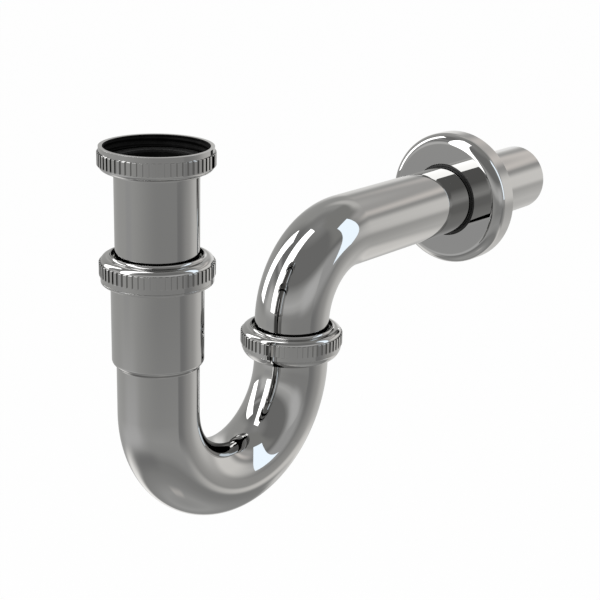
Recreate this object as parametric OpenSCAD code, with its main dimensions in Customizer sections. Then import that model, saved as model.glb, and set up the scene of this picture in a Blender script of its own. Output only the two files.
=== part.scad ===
// Chrome-plated tubular P-trap for a wash basin, G 1 1/4 x 32 mm.
// All heights are measured from the mouth of the inlet nut, which is the origin.
// +Z runs up along the inlet tail, and the outlet pipe leaves along +Y, towards the wall.

/* [Tubes] */
// Outside diameter of every tube
tube_d = 32; // [31:0.1:32.6]
// Wall of every tube
tube_wall = 0.9; // [0.7:0.1:1.2]
// Distance between the inlet leg and the riser
leg_spacing = 80; // [74:1:90]
// Height of the centre of the U-bend
bend_z = -105.5; // [-112:0.5:-102]
// Height of the centre line of the outlet pipe
outlet_z = -55; // [-56:0.5:-52]
// Centre-line radius of the outlet bend
outlet_bend_r = 34; // [33:0.5:34]
// Distance from the riser's axis to the end of the outlet pipe
outlet_reach = 179.5; // [150:0.5:220]

/* [Nuts] */
// Diameter over the ribs
nut_d = 44; // [43.6:0.1:45]
// Diameter between the ribs
nut_base_d = 42.8; // [42.6:0.1:43]
// Height from the mouth to the top of the neck
nut_h = 10; // [10:0.1:10.4]
// Number of ribs round a nut
rib_count = 60; // [40:1:72]
// Lower end of the ribs, from the mouth
rib_low = 2; // [1.8:0.1:2.4]
// Upper end of the ribs, from the mouth
rib_high = 7; // [6:0.1:7]
// Radius of the rounded shoulder
shoulder_round = 2.2; // [2:0.1:2.4]
// Diameter of the hole that the tube passes through
nut_hole_d = 34.8; // [34.4:0.1:35]
// Minor diameter of the nut's thread
thread_d = 39; // [38.9:0.05:39.1]
// Depth of the threaded part, from the mouth
thread_depth = 4.4; // [4:0.1:4.6]

/* [Socket] */
// Outside diameter of the widened socket that takes the tail
socket_d = 35.5; // [35.2:0.1:36]
// Height of the lower end of the socket
socket_low = -83; // [-84:0.5:-82]
// Length of the inlet tail, from its flange to its lower end
tail_length = 71; // [66:1:74]

/* [Rosette] */
// Outside diameter of the wall plate
rosette_d = 63.4; // [60:0.2:66]
// Depth of the wall plate
rosette_depth = 12; // [10:0.5:14]
// Radius of the rounded front edge
rosette_round = 5; // [4:0.5:6]
// Sheet thickness of the wall plate
rosette_wall = 0.9; // [0.7:0.1:1.2]
// Distance from the riser's axis to the front of the plate
rosette_front = 112.4; // [80:0.2:130]

/* [Hidden] */
$fn = 96;

tube_r = tube_d / 2;
end_chamfer = 0.2;
bore_r = tube_r - tube_wall;
bend_r = leg_spacing / 2;

// Nut sizes, as radii and as heights above the mouth
nut_r = nut_d / 2;
nut_base_r = nut_base_d / 2;
nut_hole_r = nut_hole_d / 2;
thread_r = thread_d / 2;
mouth_chamfer = 0.3;
relief_slope = 0.5;
relief_r = thread_r + relief_slope;
neck_fillet = 1;
neck_wall = 0.35;
shoulder_h = nut_h - neck_fillet - shoulder_round;
seat_h = 7.8;
rib_top_share = 0.52;
rib_root_share = 0.68;
rib_bevel = 0.7;
rib_phase = 0.7;
rib_root_r = nut_base_r - 0.6;

// Heights of the mouths of the two lower nuts
slip_mouth_z = -51;
swivel_mouth_z = -99.7;

// Play between pieces that touch, and between a tube and what slides on it
touch = 0.05;
thread_play = 0.05;
braze_gap = 0.03;

// How far the parts of one outline run into each other, and how far a cut runs past a face
overlap = 0.3;
cut = 1;

// Rings inside a union: washer under the nut's seat, flange of the tube, flat gasket
washer_t = 0.8;
flange_t = 0.9;
gasket_t = 1.2;
washer_in_r = tube_r + 0.6;
ring_out_r = thread_r - 0.3;
flange_r = thread_r - 0.6;
flange_fillet = 0.5;
washer_h = seat_h - touch - washer_t;
flange_h = washer_h - touch - flange_t;
gasket_h = flange_h - touch - gasket_t;

// Collars that carry the threads of the two lower unions
collar_thread_r = thread_r - thread_play;
collar_chamfer = 0.4;
socket_r = socket_d / 2;
socket_bore_r = socket_r - tube_wall;
socket_top_z = -49.5;
inlet_collar_top_z = -45.2;
inlet_collar_low_z = -52;
inlet_collar_edge = 0.3;
outlet_collar_top_z = swivel_mouth_z + gasket_h - touch;
outlet_hub_centre_z = swivel_mouth_z + 1;
outlet_hub_r = 5.1;
outlet_hub_low_z = outlet_hub_centre_z - outlet_hub_r;

// Wedge seal in the mouth of the inlet collar
seal_top_z = slip_mouth_z + washer_h - touch;
seal_lip_t = 1;
seal_low_z = -49;
seal_lip_r = thread_r - 0.5;
seal_cone_top_r = 18.55;
seal_cone_low_r = tube_r + 1;
cone_play = 0.1;

// Rounded step from the socket to the tube, as wide outside as inside
step_convex_r = 1.8;
step_concave_r = 0.8;
step_wall_round = 0.4;
step_h = 3;
step_slope = 45;
riser_end_gap = 0.2;

// Wall plate and the rubber ring that holds it on the pipe
rosette_y = leg_spacing + rosette_front;
rosette_r = rosette_d / 2;
rosette_hole_r = 17.4;
rosette_ring_in_r = tube_r + touch;
rosette_ring_lip_r = rosette_hole_r - 0.06;
rosette_ring_out_r = 20.5;
rosette_ring_recess = 0.4;
rosette_ring_t = 3;

chrome = [0.78, 0.78, 0.78];
rubber = [0.08, 0.08, 0.08];
plastic = [0.86, 0.86, 0.82];

// A ring that stands on its lower face, with slightly bevelled edges
module flat_ring(in_r, out_r, t, bevel = 0.15) {
    rotate_extrude() polygon([
        [in_r + bevel, 0], [out_r - bevel, 0], [out_r, bevel], [out_r, t - bevel],
        [out_r - bevel, t], [in_r + bevel, t], [in_r, t - bevel], [in_r, bevel]
    ]);
}

// Moves what stands on the inlet axis over to the riser's axis
module at_riser() {
    translate([0, leg_spacing, 0]) children();
}

// Outline of a union nut, with the mouth at height 0: a convex shoulder runs into a hollow neck
module nut_outline() {
    shoulder_r = nut_base_r - shoulder_round;
    hollow_r = nut_hole_r + neck_wall + neck_fillet;
    hollow_h = shoulder_h + sqrt(pow(shoulder_round + neck_fillet, 2) - pow(shoulder_r - hollow_r, 2));
    difference() {
        union() {
            translate([nut_hole_r, 0]) square([nut_base_r - nut_hole_r, shoulder_h]);
            translate([nut_hole_r, 0]) square([shoulder_r - nut_hole_r, shoulder_h + shoulder_round]);
            translate([nut_hole_r, 0]) square([hollow_r - nut_hole_r, nut_h]);
            translate([shoulder_r, shoulder_h]) circle(r = shoulder_round);
        }
        translate([hollow_r, hollow_h]) circle(r = neck_fillet);
    }
}

// One corner of a rib's section, at a share of the pitch from the rib's middle
function rib_point(rib, share, r) =
    let (a = rib_phase + 360 / rib_count * (rib + share)) [r * cos(a), r * sin(a)];

// How far a rib's bevelled end rises above the rib's end at this radius; under the surface it is negative
function bevel_rise(r) = rib_bevel * (r - nut_base_r) / (nut_r - nut_base_r);

// Ribs with bevelled ends, all round the nut
module nut_ribs() {
    top_side = rib_top_share / 2;
    root_side = rib_root_share / 2;
    in_r = rib_root_r - overlap;
    out_r = nut_r + overlap;
    intersection() {
        linear_extrude(height = nut_h) polygon([
            for (rib = [0 : rib_count - 1])
            for (corner = [
                [-root_side, rib_root_r], [-top_side, nut_r],
                [top_side, nut_r], [root_side, rib_root_r]
            ])
            rib_point(rib, corner[0], corner[1])
        ]);
        rotate_extrude() polygon([
            [in_r, rib_low + bevel_rise(in_r)], [out_r, rib_low + bevel_rise(out_r)],
            [out_r, rib_high - bevel_rise(out_r)], [in_r, rib_high - bevel_rise(in_r)]
        ]);
    }
}

// Ribbed union nut; the thread is a plain bore at its minor diameter, with a relief behind it
module union_nut() {
    difference() {
        union() {
            rotate_extrude() nut_outline();
            nut_ribs();
        }
        rotate_extrude() polygon([
            [0, -cut], [thread_r + mouth_chamfer, -cut], [thread_r + mouth_chamfer, 0],
            [thread_r, mouth_chamfer], [thread_r, thread_depth],
            [relief_r, thread_depth + relief_slope], [relief_r, seat_h],
            [nut_hole_r, seat_h], [nut_hole_r, nut_h + cut], [0, nut_h + cut]
        ]);
    }
}

// Washer that a nut bears on, at its height above the nut's mouth
module union_washer() {
    translate([0, 0, washer_h]) flat_ring(washer_in_r, ring_out_r, washer_t);
}

// Flat gasket under a tube's flange, at its height above the nut's mouth
module union_gasket() {
    translate([0, 0, gasket_h]) flat_ring(bore_r, ring_out_r, gasket_t, 0.1);
}

// The inlet nut's union points up, so its pieces are mirrored
module inlet_nut() {
    color(chrome) mirror([0, 0, 1]) union_nut();
}

module inlet_washer() {
    color(plastic) mirror([0, 0, 1]) union_washer();
}

module inlet_gasket() {
    color(rubber) mirror([0, 0, 1]) union_gasket();
}

// Straight tube that hangs by its flange in the inlet nut
module inlet_tail() {
    flange_top = -flange_h;
    flange_low = flange_top - flange_t;
    low = flange_top - tail_length;
    color(chrome) rotate_extrude() polygon([
        [bore_r, low + end_chamfer], [bore_r + end_chamfer, low],
        [tube_r - end_chamfer, low], [tube_r, low + end_chamfer],
        [tube_r, flange_low - flange_fillet], [tube_r + flange_fillet, flange_low],
        [flange_r, flange_low], [flange_r, flange_top], [bore_r, flange_top]
    ]);
}

module slip_nut() {
    color(chrome) translate([0, 0, slip_mouth_z]) union_nut();
}

module slip_washer() {
    color(plastic) translate([0, 0, slip_mouth_z]) union_washer();
}

// Rubber wedge that the slip nut presses round the tail
module slip_seal() {
    seal_in_r = tube_r + touch;
    lip_low = seal_top_z - seal_lip_t;
    color(rubber) rotate_extrude() polygon([
        [seal_in_r, seal_top_z], [seal_lip_r, seal_top_z], [seal_lip_r, lip_low],
        [seal_cone_top_r, lip_low], [seal_cone_low_r, seal_low_z], [seal_in_r, seal_low_z]
    ]);
}

// Threaded collar brazed on the socket, with a cone for the wedge seal in its mouth
module inlet_collar() {
    socket_seat_r = socket_r + braze_gap;
    flange_top = slip_mouth_z - touch;
    ledge_z = socket_top_z + touch;
    cone_low_r = seal_cone_low_r + cone_play;
    cone_low_z = seal_low_z - cone_play;
    flange_low = inlet_collar_low_z;
    color(chrome) difference() {
        union() {
            rotate_extrude() polygon([
                [0, flange_low + overlap], [collar_thread_r, flange_low + overlap],
                [collar_thread_r, inlet_collar_top_z - collar_chamfer],
                [collar_thread_r - collar_chamfer, inlet_collar_top_z], [0, inlet_collar_top_z]
            ]);
            rotate_extrude() polygon([
                [0, flange_low], [nut_base_r - inlet_collar_edge, flange_low],
                [nut_base_r, flange_low + inlet_collar_edge], [nut_base_r, flange_top], [0, flange_top]
            ]);
        }
        translate([0, 0, flange_low - cut]) cylinder(r = socket_seat_r, h = ledge_z - flange_low + cut);
        rotate_extrude() polygon([
            [0, flange_low - cut], [cone_low_r, flange_low - cut], [cone_low_r, cone_low_z],
            [seal_cone_top_r + cone_play, inlet_collar_top_z],
            [seal_cone_top_r + cone_play, inlet_collar_top_z + cut], [0, inlet_collar_top_z + cut]
        ]);
    }
}

// Solid along the U-shaped tube, from the socket's step to the top of the riser
module trap_path(r, riser_top) {
    step_low = socket_low - step_h;
    translate([0, 0, bend_z]) cylinder(r = r, h = step_low - bend_z + overlap);
    translate([0, bend_r, bend_z]) rotate([-90, 0, -90])
        rotate_extrude(angle = 180) translate([bend_r, 0]) circle(r = r);
    at_riser() translate([0, 0, bend_z]) cylinder(r = r, h = riser_top - bend_z);
}

// Section of the socket's wall down to the tube, grown inwards or outwards by its radii
module socket_outline(wide_r, narrow_r, convex_r, concave_r, top) {
    drop = wide_r - narrow_r;
    low = socket_low - step_h;
    turn_convex = convex_r * (1 - cos(step_slope));
    turn_concave = concave_r * (1 - cos(step_slope));
    slope = drop - turn_convex - turn_concave;
    slope_top_z = socket_low - convex_r * sin(step_slope);
    slope_low_z = slope_top_z - slope;
    concave_centre_z = slope_low_z - concave_r * sin(step_slope);
    translate([0, socket_low]) square([wide_r, top - socket_low]);
    intersection() {
        translate([wide_r - convex_r, socket_low]) circle(r = convex_r);
        translate([0, slope_top_z]) square([wide_r, socket_low - slope_top_z + overlap]);
    }
    polygon([
        [0, socket_low + overlap], [wide_r - convex_r, socket_low + overlap],
        [wide_r - turn_convex, slope_top_z],
        [narrow_r + turn_concave, slope_low_z], [0, slope_low_z]
    ]);
    difference() {
        translate([0, concave_centre_z])
            square([narrow_r + turn_concave, slope_low_z - concave_centre_z + overlap]);
        translate([narrow_r + concave_r, concave_centre_z]) circle(r = concave_r);
    }
    translate([0, low]) square([narrow_r, slope_low_z - low + overlap]);
}

// U-bend with the widened socket on its inlet side, drawn from one tube
module trap_bend() {
    riser_top = outlet_collar_top_z - riser_end_gap;
    color(chrome) difference() {
        union() {
            trap_path(tube_r, riser_top);
            rotate_extrude() socket_outline(socket_r, tube_r, step_convex_r, step_concave_r, socket_top_z);
        }
        trap_path(bore_r, riser_top + cut);
        rotate_extrude() socket_outline(
            socket_bore_r, bore_r, step_convex_r - step_wall_round,
            step_concave_r + step_wall_round, socket_top_z + cut);
    }
}

// Threaded collar brazed on the riser, with a bell-shaped hub under the nut
module outlet_collar() {
    hub_top = swivel_mouth_z - touch;
    hub_in_r = nut_base_r - outlet_hub_r;
    color(chrome) at_riser() difference() {
        union() {
            rotate_extrude() polygon([
                [0, hub_top - overlap], [collar_thread_r, hub_top - overlap],
                [collar_thread_r, outlet_collar_top_z - collar_chamfer],
                [collar_thread_r - collar_chamfer, outlet_collar_top_z], [0, outlet_collar_top_z]
            ]);
            rotate_extrude() {
                translate([0, outlet_hub_low_z]) square([hub_in_r, hub_top - outlet_hub_low_z]);
                intersection() {
                    translate([hub_in_r, outlet_hub_centre_z]) circle(r = outlet_hub_r);
                    translate([0, outlet_hub_low_z]) square([nut_base_r, hub_top - outlet_hub_low_z]);
                }
            }
        }
        translate([0, 0, outlet_hub_low_z - cut])
            cylinder(r = tube_r + braze_gap, h = outlet_collar_top_z - outlet_hub_low_z + 2 * cut);
    }
}

module swivel_gasket() {
    color(rubber) at_riser() translate([0, 0, swivel_mouth_z]) union_gasket();
}

module swivel_washer() {
    color(plastic) at_riser() translate([0, 0, swivel_mouth_z]) union_washer();
}

module swivel_nut() {
    color(chrome) at_riser() translate([0, 0, swivel_mouth_z]) union_nut();
}

// Solid along the outlet tube, from below its flange to past its end
module outlet_path(r, low, reach) {
    arc_z = outlet_z - outlet_bend_r;
    at_riser() translate([0, 0, low]) cylinder(r = r, h = arc_z - low);
    translate([0, leg_spacing + outlet_bend_r, arc_z]) rotate([90, 0, -90])
        rotate_extrude(angle = 90) translate([outlet_bend_r, 0]) circle(r = r);
    translate([0, leg_spacing + outlet_bend_r, outlet_z]) rotate([-90, 0, 0])
        cylinder(r = r, h = reach - outlet_bend_r);
}

// Outlet bend and wall pipe in one tube, with a flange that the swivel nut holds down
module outlet_bend() {
    flange_low = swivel_mouth_z + flange_h;
    color(chrome) difference() {
        union() {
            outlet_path(tube_r, flange_low + overlap, outlet_reach);
            at_riser() translate([0, 0, flange_low]) rotate_extrude() polygon([
                [0, 0], [flange_r, 0], [flange_r, flange_t],
                [tube_r + flange_fillet, flange_t], [tube_r, flange_t + flange_fillet],
                [0, flange_t + flange_fillet]
            ]);
        }
        outlet_path(bore_r, flange_low - cut, outlet_reach + cut);
    }
}

// Stands a piece that is drawn upwards along the outlet pipe, facing the wall
module on_pipe(y) {
    translate([0, y, outlet_z]) rotate([-90, 0, 0]) children();
}

// Rubber ring in the wall plate's hole, which grips the pipe
module rosette_ring() {
    back_z = rosette_wall + touch;
    color(rubber) on_pipe(rosette_y) rotate_extrude() polygon([
        [rosette_ring_in_r, rosette_ring_recess], [rosette_ring_lip_r, rosette_ring_recess],
        [rosette_ring_lip_r, back_z], [rosette_ring_out_r, back_z],
        [rosette_ring_out_r, back_z + rosette_ring_t], [rosette_ring_in_r, back_z + rosette_ring_t]
    ]);
}

// Section of the wall plate's outside, filled to the axis
module rosette_outline(r, round_r, front, back) {
    translate([0, front]) square([r - round_r, back - front]);
    translate([0, front + round_r]) square([r, back - front - round_r]);
    translate([r - round_r, front + round_r]) circle(r = round_r);
}

// Pressed wall plate: a flat front with a rounded edge, open at the back
module rosette() {
    color(chrome) on_pipe(rosette_y) difference() {
        rotate_extrude() intersection() {
            rosette_outline(rosette_r, rosette_round, 0, rosette_depth);
            square([rosette_r, rosette_depth]);
        }
        rotate_extrude() rosette_outline(
            rosette_r - rosette_wall, rosette_round - rosette_wall, rosette_wall, rosette_depth + cut);
        translate([0, 0, -cut]) cylinder(r = rosette_hole_r, h = rosette_wall + 2 * cut);
    }
}

inlet_nut();
inlet_washer();
inlet_gasket();
inlet_tail();
slip_nut();
slip_washer();
slip_seal();
inlet_collar();
trap_bend();
outlet_collar();
swivel_gasket();
swivel_washer();
swivel_nut();
outlet_bend();
rosette_ring();
rosette();
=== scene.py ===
"""Looks of a chrome-plated tubular P-trap: turned nuts, bent tubes, seals, wall plate and studio."""
import math

import bmesh
import bpy
import numpy as np
from bpy.props import FloatProperty, FloatVectorProperty, IntProperty, PointerProperty
from bpy.types import Operator, Panel, PropertyGroup
from mathutils import Matrix, Vector


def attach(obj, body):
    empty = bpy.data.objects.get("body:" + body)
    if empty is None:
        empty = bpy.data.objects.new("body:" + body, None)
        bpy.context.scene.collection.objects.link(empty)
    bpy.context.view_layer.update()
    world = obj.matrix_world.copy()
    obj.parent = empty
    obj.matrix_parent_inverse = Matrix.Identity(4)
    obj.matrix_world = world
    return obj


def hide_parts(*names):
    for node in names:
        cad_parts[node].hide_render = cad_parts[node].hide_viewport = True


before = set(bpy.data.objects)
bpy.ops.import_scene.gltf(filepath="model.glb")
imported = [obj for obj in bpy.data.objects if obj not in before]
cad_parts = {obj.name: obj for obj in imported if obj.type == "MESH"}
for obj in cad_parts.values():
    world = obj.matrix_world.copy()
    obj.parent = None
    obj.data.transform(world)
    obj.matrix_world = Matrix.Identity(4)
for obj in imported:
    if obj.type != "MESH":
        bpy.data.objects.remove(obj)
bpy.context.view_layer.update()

bl_info = {
    "name": "Tubular trap",
    "version": (1, 0, 0),
    "blender": (4, 5, 0),
    "location": "View3D > Sidebar > Trap",
    "description": "Makes the chrome pieces of a wash basin's tubular trap and the studio round it",
    "category": "Mesh",
}

MM = 0.001


def number_prop(name, description, default, **kinds):
    """A number."""
    return FloatProperty(name=name, description=description, default=default, **kinds)


def place_prop(name, description, default_mm, **limits):
    """A height or place along an axis, which may be negative, with its default in millimetres."""
    return number_prop(name, description, default_mm * MM, precision=5, unit="LENGTH", **limits)


def size_prop(name, description, default_mm):
    """A length, with its default in millimetres."""
    return place_prop(name, description, default_mm, min=0.0)


def colour_prop(name, description, default):
    """A linear colour without alpha."""
    return FloatVectorProperty(name=name, description=description, default=default, subtype="COLOR",
                               size=3, min=0.0, max=1.0)


class TubeSizes(PropertyGroup):
    outside: size_prop("Outside", "Outside diameter of every tube", 32.0)
    wall: size_prop("Wall", "Wall of every tube", 0.9)
    leg_spacing: size_prop("Leg spacing", "Distance between the inlet leg and the riser", 80.0)
    bend_height: place_prop("Bend height", "Height of the centre of the U-bend", -105.5)
    outlet_height: place_prop("Outlet height", "Height of the outlet pipe's centre line", -55.0)
    outlet_bend: size_prop("Outlet bend", "Centre-line radius of the outlet bend", 34.0)
    outlet_reach: size_prop("Outlet reach", "From the riser's axis to the end of the pipe", 179.5)
    tail_length: size_prop("Tail length", "Length of the inlet tail", 71.0)
    flange: size_prop("Flange", "Diameter of the flanges that the unions hold", 37.8)
    flange_thick: size_prop("Flange thickness", "Thickness of those flanges", 0.9)


class NutSizes(PropertyGroup):
    over_ribs: size_prop("Over ribs", "Diameter over the ribs", 44.0)
    base: size_prop("Base", "Diameter between the ribs", 42.8)
    height: size_prop("Height", "From the mouth to the top of the neck", 10.0)
    hole: size_prop("Hole", "Diameter of the hole for the tube", 34.8)
    thread: size_prop("Thread", "Minor diameter of the thread", 39.0)
    thread_depth: size_prop("Thread depth", "Depth of the threaded part from the mouth", 4.4)
    thread_rise: size_prop("Thread rise", "Depth of the thread's ridges", 0.7)
    pitch: size_prop("Pitch", "Lead of the thread, 11 threads to the inch", 2.309)
    seat: size_prop("Seat", "Height of the seat above the mouth", 7.8)
    rib_low: size_prop("Rib start", "Lower end of the ribs above the mouth", 2.0)
    rib_high: size_prop("Rib end", "Upper end of the ribs above the mouth", 7.0)
    shoulder: size_prop("Shoulder", "Radius of the rounded shoulder", 2.2)
    hollow: size_prop("Hollow", "Radius of the hollow that runs up to the neck", 1.0)
    ribs: IntProperty(name="Ribs", description="Number of ribs round a nut", default=60, min=12)
    slip_mouth: place_prop("Slip mouth", "Height of the slip nut's mouth", -51.0)
    swivel_mouth: place_prop("Swivel mouth", "Height of the swivel nut's mouth", -99.7)


class SocketSizes(PropertyGroup):
    outside: size_prop("Outside", "Outside diameter of the widened socket", 35.5)
    low: place_prop("Lower end", "Height at which the socket starts to narrow", -83.0)
    top: place_prop("Upper end", "Height of the socket's upper edge", -49.5)
    collar_top: place_prop("Collar top", "Height of the inlet collar's upper face", -45.2)
    collar_low: place_prop("Collar flange", "Height of the inlet collar's lower face", -52.0)
    hub: size_prop("Hub", "Radius of the outlet collar's bell-shaped hub", 5.1)


class PlateSizes(PropertyGroup):
    outside: size_prop("Outside", "Diameter of the wall plate", 63.4)
    depth: size_prop("Depth", "Depth of the wall plate", 12.0)
    edge: size_prop("Edge", "Radius of the rounded front edge", 5.0)
    sheet: size_prop("Sheet", "Thickness of the pressed sheet", 0.9)
    front: size_prop("Front", "From the riser's axis to the front face", 112.4)
    hole: size_prop("Hole", "Diameter of the hole for the pipe", 34.8)


class Finish(PropertyGroup):
    chrome: colour_prop("Chrome", "Colour of the plating", (0.522, 0.52, 0.514))
    chrome_roughness: number_prop("Chrome roughness", "Roughness of the plating", 0.012, min=0.0, max=1.0)
    # Near-black of the bores and threads: partly their own dull metal, partly painted shade of the hollows
    bore_and_painted_shade: colour_prop("Bore", "Colour of the dark bores and threads", (0.008, 0.008, 0.008))
    rubber: colour_prop("Rubber", "Colour of the seals", (0.012, 0.012, 0.012))
    plastic: colour_prop("Slip rings", "Colour of the polyethylene washers", (0.72, 0.72, 0.68))


class Studio(PropertyGroup):
    camera_place: FloatVectorProperty(name="Camera", description="Place of the camera",
                                      default=(351.8 * MM, -343.4 * MM, 105.8 * MM), size=3,
                                      unit="LENGTH")
    camera_azimuth: number_prop("Azimuth", "Azimuth of the view", math.radians(39.38), subtype="ANGLE")
    camera_elevation: number_prop("Elevation", "Elevation of the view", math.radians(18.56),
                                  subtype="ANGLE")
    camera_roll: number_prop("Roll", "Roll of the view", math.radians(1.56), subtype="ANGLE")
    lens: number_prop("Lens", "Focal length in millimetres", 81.385)
    middle: FloatVectorProperty(name="Middle", description="Middle of the trap, where the tent is centred",
                                default=(0.0, 0.11, -0.08), size=3, unit="LENGTH")
    tent_radius: size_prop("Tent radius", "Radius of the tent", 6000.0)
    hang_height: size_prop("Hang height", "From the trap's middle down to the floor", 750.0)
    even_light: number_prop("Even light", "Light that falls on the dull pieces", 0.7)
    lamp_watts: number_prop("Lamp", "Power of the soft lamp", 12.0)
    lamp_size: size_prop("Lamp size", "Side of the soft lamp", 1200.0)
    lamp_distance: size_prop("Lamp distance", "From the trap's middle to the lamp", 1800.0)


GROUPS = {
    "trap_tubes": TubeSizes,
    "trap_nuts": NutSizes,
    "trap_socket": SocketSizes,
    "trap_plate": PlateSizes,
    "trap_finish": Finish,
    "trap_studio": Studio,
}

# Steps of a large and of a small rounding and the fewest of either, the largest radius of a small one, and
# how close a supporting row of vertices lies beside a rounding
ARC_STEP = math.radians(10)
SMALL_ARC_STEP = math.radians(30)
FEWEST_STEPS = 3
SMALL_ARC = 0.25 * MM
SUPPORT = 0.03 * MM

# Sides of a turned piece or tube, and the step of a bend
TUBE_SIDES = 240
ALL_ROUND = np.arange(TUBE_SIDES) * 2 * math.pi / TUBE_SIDES
BEND_STEP = math.radians(2)

# Faces that meet at more than this angle keep their edge
SHARP = math.radians(32)

# Rows closer than this are one row, a corner that turns by less than this angle is none, and a length below
# the last is none
SAME_PLACE = 0.001 * MM
SAME_WAY = 1e-4
NOTHING = 1e-9 * MM

# Play between pieces that touch, and between threads
TOUCH = 0.05 * MM
THREAD_PLAY = 0.05 * MM

# The near-black bore, partly painted shade, reaches this far past a bore's own radius
PAST_BORE = 0.02 * MM


def rounded(corners):
    """Rows of a closed outline: radius, height and the way that its surface faces in both. A corner is
    (radius, height, rounding) or (radius, height, rounding, step): with a step, the run after it is cut
    into lengths of no more than that."""
    area = sum(a[0] * b[1] - b[0] * a[1] for a, b in zip(corners, corners[1:] + corners[:1]))

    def row(point, way):
        out = Vector((way.y, -way.x)).normalized() * math.copysign(1, area)
        return (*point, *out)

    arcs = []
    for i, (r, h, size, *step) in enumerate(corners):
        here = Vector((r, h))
        to_before = (Vector(corners[i - 1][:2]) - here).normalized()
        to_after = (Vector(corners[(i + 1) % len(corners)][:2]) - here).normalized()
        turn = math.pi - to_before.angle(to_after)
        if size == 0 or turn < SAME_WAY:
            arcs.append(([row(here, to_after - to_before)], step, to_after))
            continue
        centre = here + (to_before + to_after).normalized() * size / math.cos(turn / 2)
        start = here + to_before * size * math.tan(turn / 2) - centre
        sweep = start.angle_signed(here + to_after * size * math.tan(turn / 2) - centre)
        steps = max(FEWEST_STEPS, math.ceil(turn / (ARC_STEP if size > SMALL_ARC else SMALL_ARC_STEP)))
        arc = []
        for k in range(steps + 1):
            turned = Matrix.Rotation(-sweep * k / steps, 2)
            arc.append(row(centre + turned @ start, turned @ -to_before))
        arcs.append((arc, step, to_after))
    rows = []
    for i, (arc, step, way) in enumerate(arcs):
        rows += arc
        start, end = Vector(arc[-1][:2]), Vector(arcs[(i + 1) % len(arcs)][0][0][:2])
        run = (end - start).length
        inner = [SUPPORT, run - SUPPORT] if run > 4 * SUPPORT else []
        if step and inner:
            cuts = max(1, math.ceil(run / step[0]))
            inner[1:1] = [run * k / cuts for k in range(1, cuts)]
        rows += [row(start.lerp(end, distance / run), way) for distance in inner]
    return np.array(rows)


def with_row(rows, height):
    """The outline with one more row where it first rises past a height, unless it has a row there."""
    index = next(i for i in range(len(rows) - 1) if rows[i][1] < height <= rows[i + 1][1])
    low, high = rows[index], rows[index + 1]
    if min(height - low[1], high[1] - height) < SAME_PLACE:
        return rows
    share = (height - low[1]) / (high[1] - low[1])
    return np.insert(rows, index + 1, low + (high - low) * share, axis=0)


def straight(y, z, axis=(0, 0, 1)):
    """Stations along a straight axis from a place in the YZ plane: for each distance, the centre, the two
    directions across and the direction along."""
    base, axis, across = (np.array(v, float) for v in ((0, y, z), axis, (1, 0, 0)))

    def stations(along):
        centre = base + np.outer(along, axis)
        first = np.broadcast_to(across, centre.shape)
        second = np.broadcast_to(np.cross(axis, across), centre.shape)
        return centre, first, second, np.broadcast_to(axis, centre.shape)

    return stations


def route(start_y, start_z, heading, legs):
    """Stations along a centre line in the YZ plane. legs are ("run", length) and ("bend", radius, angle)."""

    def stations(along):
        centres, across, ahead = [], [], []
        for s in along:
            y, z, way, left = start_y, start_z, heading, s
            for leg in legs:
                last = leg is legs[-1]
                if leg[0] == "run":
                    go = left if last else min(left, leg[1])
                    y, z = y + go * math.cos(way), z + go * math.sin(way)
                    left -= go
                else:
                    radius, angle = leg[1:]
                    side = math.copysign(1, angle)
                    turned = min(left, radius * abs(angle)) / radius * side
                    y += side * radius * (math.sin(way + turned) - math.sin(way))
                    z -= side * radius * (math.cos(way + turned) - math.cos(way))
                    way += turned
                    left -= abs(turned) * radius
                if left <= NOTHING:
                    break
            centres.append((0.0, y, z))
            across.append((0.0, -math.sin(way), math.cos(way)))
            ahead.append((0.0, math.cos(way), math.sin(way)))
        sideways = np.broadcast_to(np.array([1.0, 0.0, 0.0]), (len(along), 3))
        return np.array(centres), sideways, np.array(across), np.array(ahead)

    return stations


def skin(name, outline, stations, angles=ALL_ROUND, swell=None):
    """A closed mesh: the outline's rows carried round a centre line. swell(radius, distance, angle) adds
    to the radius where ribs or threads stand out."""
    radius = outline[:, 0][:, None] * np.ones(len(angles))
    plain = np.ones(len(outline), bool)
    if swell:
        added = swell(outline[:, 0][:, None], outline[:, 1][:, None], angles[None, :])
        radius = radius + added
        plain = np.abs(added).max(axis=1) < NOTHING
    centre, first, second, ahead = stations(outline[:, 1])
    spokes = (np.cos(angles)[None, :, None] * first[:, None, :]
              + np.sin(angles)[None, :, None] * second[:, None, :])
    points = (centre[:, None, :] + radius[:, :, None] * spokes).reshape(-1, 3)
    rows, cols = radius.shape
    row, col = np.meshgrid(np.arange(rows), np.arange(cols), indexing="ij")
    next_row, next_col = (row + 1) % rows, (col + 1) % cols
    faces = np.stack([row * cols + col, next_row * cols + col,
                      next_row * cols + next_col, row * cols + next_col], axis=-1).reshape(-1, 4)
    mesh = bpy.data.meshes.new(name)
    mesh.from_pydata(points.tolist(), [], faces.tolist())
    work = bmesh.new()
    work.from_mesh(mesh)
    bmesh.ops.recalc_face_normals(work, faces=work.faces)
    work.to_mesh(mesh)
    work.free()
    mesh.shade_smooth()
    mesh.set_sharp_from_angle(angle=SHARP)
    shade_turned(mesh, outline[:, 2][:, None, None] * spokes + outline[:, 3][:, None, None] * ahead[:, None],
                 plain)
    return put_in_scene(name, mesh)


def shade_turned(mesh, facing, plain):
    """Shades the turned and bent faces by their true form, so that the plating mirrors cleanly. facing is
    the way that each vertex faces, and plain says which rows have no ribs or threads."""
    cols = facing.shape[1]
    corners = np.empty(len(mesh.loops), int)
    mesh.loops.foreach_get("vertex_index", corners)
    shading = np.empty((len(mesh.loops), 3), np.float32)
    mesh.corner_normals.foreach_get("vector", shading.ravel())
    true_form = np.repeat(plain[corners // cols].reshape(-1, 4).all(axis=1), 4)
    shading[true_form] = facing.reshape(-1, 3)[corners][true_form]
    mesh.normals_split_custom_set(shading.tolist())


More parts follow.
